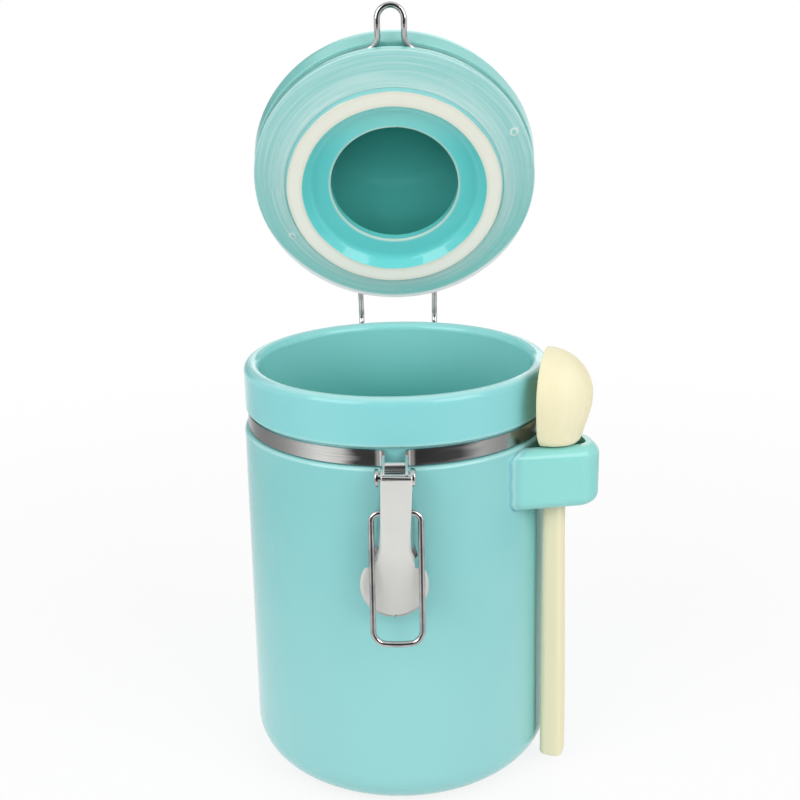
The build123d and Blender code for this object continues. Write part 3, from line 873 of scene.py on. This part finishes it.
@dataclass
class Latch:
    """Neck band, spacer, rivet, lever, loop and hinge bracket."""

    pivot_y: float = -67 * MM
    pivot_z: float = 140.1 * MM
    plate_front: float = -71.4 * MM
    plate_top: float = 142 * MM
    plate_half: float = 5.6 * MM
    neck_half: float = 5.15 * MM
    neck_z: float = 114.1 * MM
    sheet: float = 0.8 * MM
    bend: float = 0.9 * MM
    lobe: float = 3.7 * MM
    lobe_fade: float = 5 * MM
    neck_fade: float = 8 * MM
    slope: Pair = (103 * MM, 126 * MM)
    paddle_z: float = 99.9 * MM
    paddle_radius: float = 12.3 * MM
    paddle_front: float = -68.8 * MM
    paddle_start: float = math.radians(25.0)
    paddle_end: float = math.radians(-89.6)
    paddle_roll: float = 0.9 * MM
    roll_end: Pair = (104 * MM, 108 * MM)
    disc_end: Pair = (106.1 * MM, 108.1 * MM)
    paddle_blend: float = 1.2 * MM
    blend_fade: float = 5 * MM
    shoulder_z: float = 107.3 * MM
    shoulder_flare: float = 2.1 * MM
    tilt: float = math.radians(2.2)
    shift: float = 0.5 * MM
    loop_y: float = -67.3 * MM
    loop_z: float = 127 * MM
    loop_lean: float = math.radians(9.1)
    loop_half: float = 8.8 * MM
    loop_length: float = 47.1 * MM
    loop_bow: float = 0.9 * MM
    loop_top_corner: float = 3 * MM
    loop_low_corner: float = 4 * MM
    loop_wire: float = 1.1 * MM
    steel: SteelFinish = SteelFinish()

    def lever_surface(self, rows: int = 200, turns: int = 90, steps: int = 12) -> Array:
        """Outer face of the pressed lever: a channel that opens out into a round paddle.

        Each level is a flat front of half-width w, a quarter-round bend on each side and a flange. w is a
        tapering neck that flares at its foot, joined by a smooth maximum to a circle cut off at its
        shoulders. The flange's depth follows a table, its upper end rises to a round lobe at the rivet, and
        the paddle's edge is rolled back by a quarter circle of the distance from its rim.

        Args:
            rows: Levels along the neck.
            turns: Levels round the paddle.
            steps: Points across each flange and each half of the front.

        Returns:
            Rows by columns by three, in the row frame.
        """
        foot = self.paddle_z + self.paddle_radius * math.sin(self.paddle_start)
        straight = np.linspace(self.plate_top, foot, rows)
        bearing = np.linspace(self.paddle_start, self.paddle_end, turns)[1:]
        level = np.concatenate([straight, self.paddle_z + self.paddle_radius * np.sin(bearing)])[:, None]

        neck = self.neck_half + (self.plate_half - self.neck_half) * ease(level, self.neck_z, self.plate_top)
        neck = neck + self.shoulder_flare * (1 - ease(level, self.shoulder_z, self.neck_z))
        neck = neck * ease(level, self.paddle_z - self.neck_fade, self.paddle_z)
        disc = np.sqrt(np.clip(self.paddle_radius**2 - (level - self.paddle_z) ** 2, 0, None))
        disc = disc * (1 - ease(level, *self.disc_end))
        blend = self.paddle_blend * ease(level, self.paddle_z, self.paddle_z + self.blend_fade) + TINY
        close = np.clip(blend - np.abs(neck - disc), 0, None) / blend
        width = np.maximum(neck, disc) + close**2 * blend / 4
        heights = np.array([87.6, 104.0, 109.2, 110.6, 113.0, 117.0, 122.0, 136.4, 140.0, 142.0]) * MM
        depths = np.array([0.1, 0.15, 0.3, 3.2, 4.2, 4.8, 10.35, 10.35, 9.0, 7.6]) * MM
        depth = np.interp(level, heights, depths)
        places = np.array([108.0, 110.6, 113.0, 118.0, 123.0, 131.0, 134.0]) * MM
        flares = np.interp(level, places, [0.0, 0.6, 0.5, 0.25, 0.1, 0.04, 0.0])
        bend = np.minimum(np.minimum(self.bend, width * 0.4), depth)

        column = np.arange(-3 * steps, 3 * steps + 1)[None, :]
        side = np.sign(column)
        flat, curve, wall = (np.clip(np.abs(column) / steps - before, 0, 1) for before in range(3))

        back = bend * (1 - np.cos(curve * np.pi / 2)) + (depth - bend) * wall
        x = side * ((width - bend) * flat + bend * np.sin(curve * np.pi / 2) + flares * back)
        front = self.paddle_front + (self.plate_front - self.paddle_front) * ease(level, *self.slope)
        y = front + back
        past = np.hypot(x, level - self.paddle_z) - self.paddle_radius + self.paddle_roll
        away = np.clip(past, 0, self.paddle_roll)
        roll = self.paddle_roll - np.sqrt(self.paddle_roll**2 - away**2)
        y = y + roll * (1 - ease(level, *self.roll_end))
        ending = np.clip(self.bend - (self.plate_top - level), 0, self.bend)
        y = y + (self.bend - np.sqrt(self.bend**2 - ending**2)) * (1 - curve)
        lobe = np.sqrt(np.clip(self.lobe**2 - (y - self.pivot_y) ** 2, 0, None))
        rise = np.clip(lobe - (self.plate_top - self.pivot_z), 0, None)
        z = level + rise * wall**0.3 * ease(level, self.plate_top - self.lobe_fade, self.plate_top)
        below = z - self.pivot_z
        turned_x = x * math.cos(self.tilt) + below * math.sin(self.tilt) + self.shift
        turned_z = self.pivot_z + below * math.cos(self.tilt) - x * math.sin(self.tilt)
        return np.stack(np.broadcast_arrays(turned_x, y, turned_z), -1)

    def loop_path(self, steps: int = 40) -> Array:
        """Middle line of the wire loop: a rounded rectangle whose lower bar bows down.

        The right half is lines and quarter circles from the top bar to the lower one, the left half is its
        mirror image, and the lower bar sinks by a parabola of the distance from its middle.

        Args:
            steps: Points along each line and each quarter circle.

        Returns:
            Points by three, in the row frame.
        """
        share = np.linspace(0, 1, steps, endpoint=False)
        quarter = share * np.pi / 2
        half, top, low = self.loop_half, self.loop_top_corner, self.loop_low_corner
        length = self.loop_length
        x = np.concatenate([
            (half - top) * share,
            half - top + top * np.sin(quarter),
            half + 0 * share,
            half - low + low * np.cos(quarter),
            (half - low) * (1 - share),
        ])
        drop = np.concatenate([
            0 * share,
            top - top * np.cos(quarter),
            top + (length - top - low) * share,
            length - low + low * np.sin(quarter),
            length + 0 * share,
        ])
        x = np.concatenate([x, -x[:0:-1]])
        drop = np.concatenate([drop, drop[:0:-1]])
        drop = drop + self.loop_bow * (1 - (x / half) ** 2) * ease(drop, length - 2 * low, length)
        y = self.loop_y - drop * math.sin(self.loop_lean)
        return np.stack([x, y, self.loop_z - drop * math.cos(self.loop_lean)], -1)

    def build(self) -> None:
        """Dress the band, and make the lever and its loop."""
        brushed, satin, polished = (self.steel.make(steel) for steel in Steel)
        for node in ("neck_band", "hinge_bracket", "band_spacer"):
            dress(node, brushed)
        dress("lever_pin", polished)
        lever = sheet_mesh("pressed_lever", self.lever_surface(), self.sheet)
        settle(lever, "lever", "latch_lever", satin)
        normal = np.array([0.0, math.cos(self.loop_lean), -math.sin(self.loop_lean)])
        loop = wire_mesh("bent_loop", self.loop_path(), normal, self.loop_wire)
        settle(loop, "loop", "latch_loop", polished)


@dataclass
class Spoon:
    """Wooden spoon that hangs in the jar's strap, bowl to the jar."""

    place: Pair = (60.42 * MM, -29.67 * MM)
    turn: float = math.radians(-19.3)
    low: float = 5 * MM
    handle_thickness: float = 7.8 * MM
    handle_swell: float = 1.4 * MM
    handle_width: float = 9.6 * MM
    handle_shift: float = -0.25 * MM
    handle_lean: float = 1.35 * MM
    end_round: float = 1.3 * MM
    neck_low: float = 130 * MM
    neck_seat: float = 140 * MM
    neck_half_width: float = 5.3 * MM
    neck_back: float = 5.7 * MM
    rim: float = -4.2 * MM
    bowl_z: float = 158.5 * MM
    bowl_low: float = 140.4 * MM
    bowl_high: float = 176 * MM
    bowl_half_width: float = 15.5 * MM
    bowl_depth: float = 17.6 * MM
    bowl_wall: float = 3 * MM
    bowl_fade: float = 6 * MM
    rim_swell: float = 0.5 * MM
    width_drop: float = 0.2
    width_power: float = 9.0
    depth_drop: float = 0.31
    depth_power: float = 12.0
    wood: WoodFinish = WoodFinish()

    def bowl_size(self, level: Array, inset: float, drop: float, power: float) -> Array:
        """Share of the bowl's full width or depth at a height.

        Args:
            level: Heights.
            inset: How far the bowl is drawn in at its ends.
            drop: Share that the bowl loses on the way down to its lower end.
            power: How full the lower end is.

        Returns:
            (1 - s^2)^(1/2) above the middle and (1 - d s^1.7)(1 - s^p)^(1/p) below it, with s the share of
            the way to that end.
        """
        up = np.clip((level - self.bowl_z) / (self.bowl_high - inset - self.bowl_z), 0, 1)
        down = np.clip((self.bowl_z - level) / (self.bowl_z - self.bowl_low - inset), 0, 1)
        below = (1 - drop * down**1.7) * (1 - down**power) ** (1 / power)
        return np.where(level > self.bowl_z, np.sqrt(1 - up**2), below)

    def levels(self) -> Array:
        """Heights of the rings that the skin is drawn through.

        Returns:
            Heights from the handle's end to the top of the bowl, closest where the outline turns.
        """
        quarter = np.linspace(0, np.pi / 2, 91)
        end = self.low + self.end_round * (1 - np.cos(quarter[6::7]))
        handle = np.linspace(self.low + self.end_round, self.neck_low, 61)[1:]
        neck = np.linspace(self.neck_low, self.bowl_low, 41)[1:]
        lower = self.bowl_low + (self.bowl_z - self.bowl_low) * np.linspace(0, 1, 121)[1:] ** 2.2
        upper = self.bowl_z + (self.bowl_high - self.bowl_z) * np.sin(quarter[1:-1])
        return np.concatenate([end, handle, neck, lower, upper])

    def surface(self, steps: int = 112) -> Array:
        """Handle, neck and hollow bowl as one closed skin.

        Each level is a closed curve about a middle line: t = w cos and e = c + b sin, with half-width w,
        depth b behind the line and f before it, and powers that go from boxy in the handle to round in the
        bowl. The hollow pushes the front of the curve back by the depth of a smaller bowl.

        Args:
            steps: Points round each level.

        Returns:
            Rings by points by three, in the row frame.
        """
        level = self.levels()[:, None]
        around = circle(steps)[None, :]

        bowl = self.bowl_size(level, 0.0, self.width_drop, self.width_power)
        deep = self.bowl_size(level, 0.0, self.depth_drop, self.depth_power)
        rising = ease(level, self.neck_low, self.neck_seat)
        fading = 1 - ease(level, self.neck_seat, self.bowl_z)
        into_bowl = ease(level, self.neck_low, self.bowl_low + self.bowl_fade)

        falling = 1 - ease(level, self.low, self.neck_low)
        half = (self.handle_thickness + self.handle_swell * falling) / 2
        shift = (self.handle_shift + self.handle_lean * falling) * (1 - into_bowl)
        stem_width = self.handle_width / 2 + (self.neck_half_width - self.handle_width / 2) * rising
        stem_back = half + (self.neck_back - half) * rising
        middle = self.rim * into_bowl + shift
        width = rounded_maximum(stem_width * fading, self.bowl_half_width * bowl)
        stem_back = stem_back - middle + shift
        back = rounded_maximum(stem_back * fading, self.bowl_depth * deep)
        front = half * (1 - into_bowl) + self.rim_swell * into_bowl * np.maximum(bowl, fading)

        gone = np.clip(self.end_round - (level - self.low), 0, self.end_round)
        inset = self.end_round - np.sqrt(self.end_round**2 - gone**2)
        width, back, front = (size - inset for size in (width, back, front))

        power = 0.5 + 0.5 * into_bowl
        across = width * signed_power(np.cos(around), power)
        sine = signed_power(np.sin(around), power)
        out = middle + np.where(sine > 0, back * sine, front * sine)
        inner = self.bowl_size(level, self.bowl_wall, 0.0, 2.0)
        scooped = inner * (self.bowl_half_width - self.bowl_wall) + TINY
        hollow = np.sqrt(np.clip(1 - (across / scooped) ** 2, 0, 1)) * inner
        hollow = hollow * (self.bowl_depth - self.bowl_wall)
        out = out + np.where(sine < 0, hollow, 0)

        x = self.place[0] + out * math.cos(self.turn) - across * math.sin(self.turn)
        y = self.place[1] + out * math.sin(self.turn) + across * math.cos(self.turn)
        return np.stack(np.broadcast_arrays(x, y, level), -1)

    def build(self) -> None:
        """Make the spoon in its strap."""
        points = self.surface()
        ends = points[[0, -1]].mean(1)
        ends[0, 2] = self.low
        spoon = tube_mesh("wooden_spoon", points, ends)
        settle(spoon, "spoon", "spoon", self.wood.make())


# Studio


@dataclass(frozen=True)
class Lamp:
    """A soft box that points at the jar, with its width and height and its power in watts."""

    name: str
    place: Point
    size: Pair
    power: float


@dataclass(frozen=True)
class Card:
    """A dark card that only reflections see, to give the metal its contrast.

    It fades out from a third of its reach, and its middle hides a share of what is behind it.
    """

    name: str
    middle: Point
    reach: float
    upright: bool = False
    share: float = 1.0


@dataclass
class Studio:
    """Pale floor, white surroundings, soft boxes and the camera."""

    camera_place: Point = (6.85 * MM, -442.93 * MM, 284.27 * MM)
    heading: float = math.radians(0.7)
    pitch: float = 0.299
    roll: float = -0.02
    lens: float = 51.98
    sky: float = 0.5
    floor_radius: float = 3.0
    floor_drop: float = 0.2 * MM
    floor_white: float = 0.85
    floor_fade: Pair = (0.12, 0.7)
    aim: Point = (0.0, 0.0, 0.12)
    lamps: tuple[Lamp, ...] = (
        Lamp("left_box", (-0.84, -0.76, 0.9), (0.9, 0.75), 7.7),
        Lamp("right_box", (0.84, -0.76, 0.9), (0.9, 0.75), 7.7),
        Lamp("back_box", (0.0, 1.3, 0.9), (1.2, 1.2), 3.6),
    )
    cards: tuple[Card, ...] = (
        Card("low_card", (0.0, -0.85, 0.015), 0.75),
        Card("front_card", (0.0, -1.3, 0.5), 1.9, upright=True),
        Card("left_card", (-0.45, 0.12, 0.012), 0.42, share=0.48),
        Card("right_card", (0.45, 0.12, 0.012), 0.42, share=0.48),
        Card("rear_card", (-0.75, 1.0, 0.6), 0.75, upright=True),
    )

    def surroundings(self) -> None:
        """Light the scene evenly with grey, and show white to the camera and in reflections."""
        shader = Shader("grey tent", world=True)
        shader.set(Color=(1.0, 1.0, 1.0), Strength=self.sky)
        shader.show_white("ShaderNodeBackground", 1.0)
        bpy.context.scene.world = shader.owner

    def floor(self) -> None:
        """Lay a round pale floor that shows white to the camera where nothing shades it."""
        turn = circle(96)
        x = self.floor_radius * np.cos(turn)
        y = self.floor_radius * np.sin(turn)
        ring = np.stack([x, y, 0 * turn - self.floor_drop], -1)
        made = add_mesh("pale_floor", ring, [list(range(len(ring)))])
        shader = Shader("pale floor")
        shader.set(Base_Color=(0.9, 0.9, 0.9), Roughness=0.9)
        right, ahead, _ = shader.parts(shader.place())
        far = ((right * right + ahead * ahead) ** 0.5).smooth(*self.floor_fade)
        shader.show_white("ShaderNodeEmission", far * (1 - self.floor_white) + self.floor_white)
        made.data.materials.append(shader.owner)

    def hang(self, lamp: Lamp) -> None:
        """Hang a soft box and turn it to the jar.

        Args:
            lamp: The soft box.
        """
        data = bpy.data.lights.new(lamp.name, "AREA")
        data.shape = "RECTANGLE"
        data.size, data.size_y = lamp.size
        data.energy = lamp.power
        made = bpy.data.objects.new(lamp.name, data)
        made.location = lamp.place
        aim = Vector(self.aim) - Vector(lamp.place)
        made.rotation_euler = aim.to_track_quat("-Z", "Y").to_euler()
        bpy.context.scene.collection.objects.link(made)

    def stand(self, card: Card) -> None:
        """Stand a dark card up, or lay it flat, where only reflections see it.

        Args:
            card: The card.
        """
        reach = card.reach
        middle = np.array(card.middle)
        sides = np.array([(-reach, -reach), (reach, -reach), (reach, reach), (-reach, reach)])
        corners = np.tile(middle, (4, 1))
        corners[:, [0, 2] if card.upright else [0, 1]] += sides
        made = add_mesh(card.name, corners, [[0, 1, 2, 3]])
        shader = Shader(card.name)
        right, ahead, up = shader.parts(shader.place(offset=tuple(-middle)))
        away = (right * right + ahead * ahead + up * up) ** 0.5
        fade = (1 - away.smooth(reach / 3, reach)) * card.share
        shader.set(Base_Color=(0.03, 0.03, 0.03), Roughness=1.0, Alpha=fade)
        made.data.materials.append(shader.owner)
        for ray in ("camera", "diffuse", "shadow", "transmission"):
            setattr(made, "visible_" + ray, False)

    def camera(self) -> None:
        """Set the camera at the photograph's place, heading, pitch and roll."""
        data = bpy.data.cameras.new("camera")
        data.lens = self.lens
        made = bpy.data.objects.new("camera", data)
        matrix = Matrix.Translation(self.camera_place)
        for angle, axis in ((self.heading, "Z"), (math.pi / 2 - self.pitch, "X"), (self.roll, "Z")):
            matrix = matrix @ Matrix.Rotation(angle, 4, axis)
        made.matrix_world = matrix
        bpy.context.scene.collection.objects.link(made)
        bpy.context.scene.camera = made

    def build(self) -> None:
        """Set up everything round the object."""
        bpy.context.scene.view_settings.view_transform = "Standard"
        self.surroundings()
        self.floor()
        for lamp in self.lamps:
            self.hang(lamp)
        for card in self.cards:
            self.stand(card)
        self.camera()


def main() -> None:
    """Build the classes in order and log each one."""
    logging.basicConfig(level=logging.INFO, format="%(name)s: %(message)s")
    for part in (Jar(), Lid(), Latch(), Spoon(), Studio()):
        part.build()
        LOG.info("%s is built", type(part).__name__)


if __name__ == "__main__":
    main()
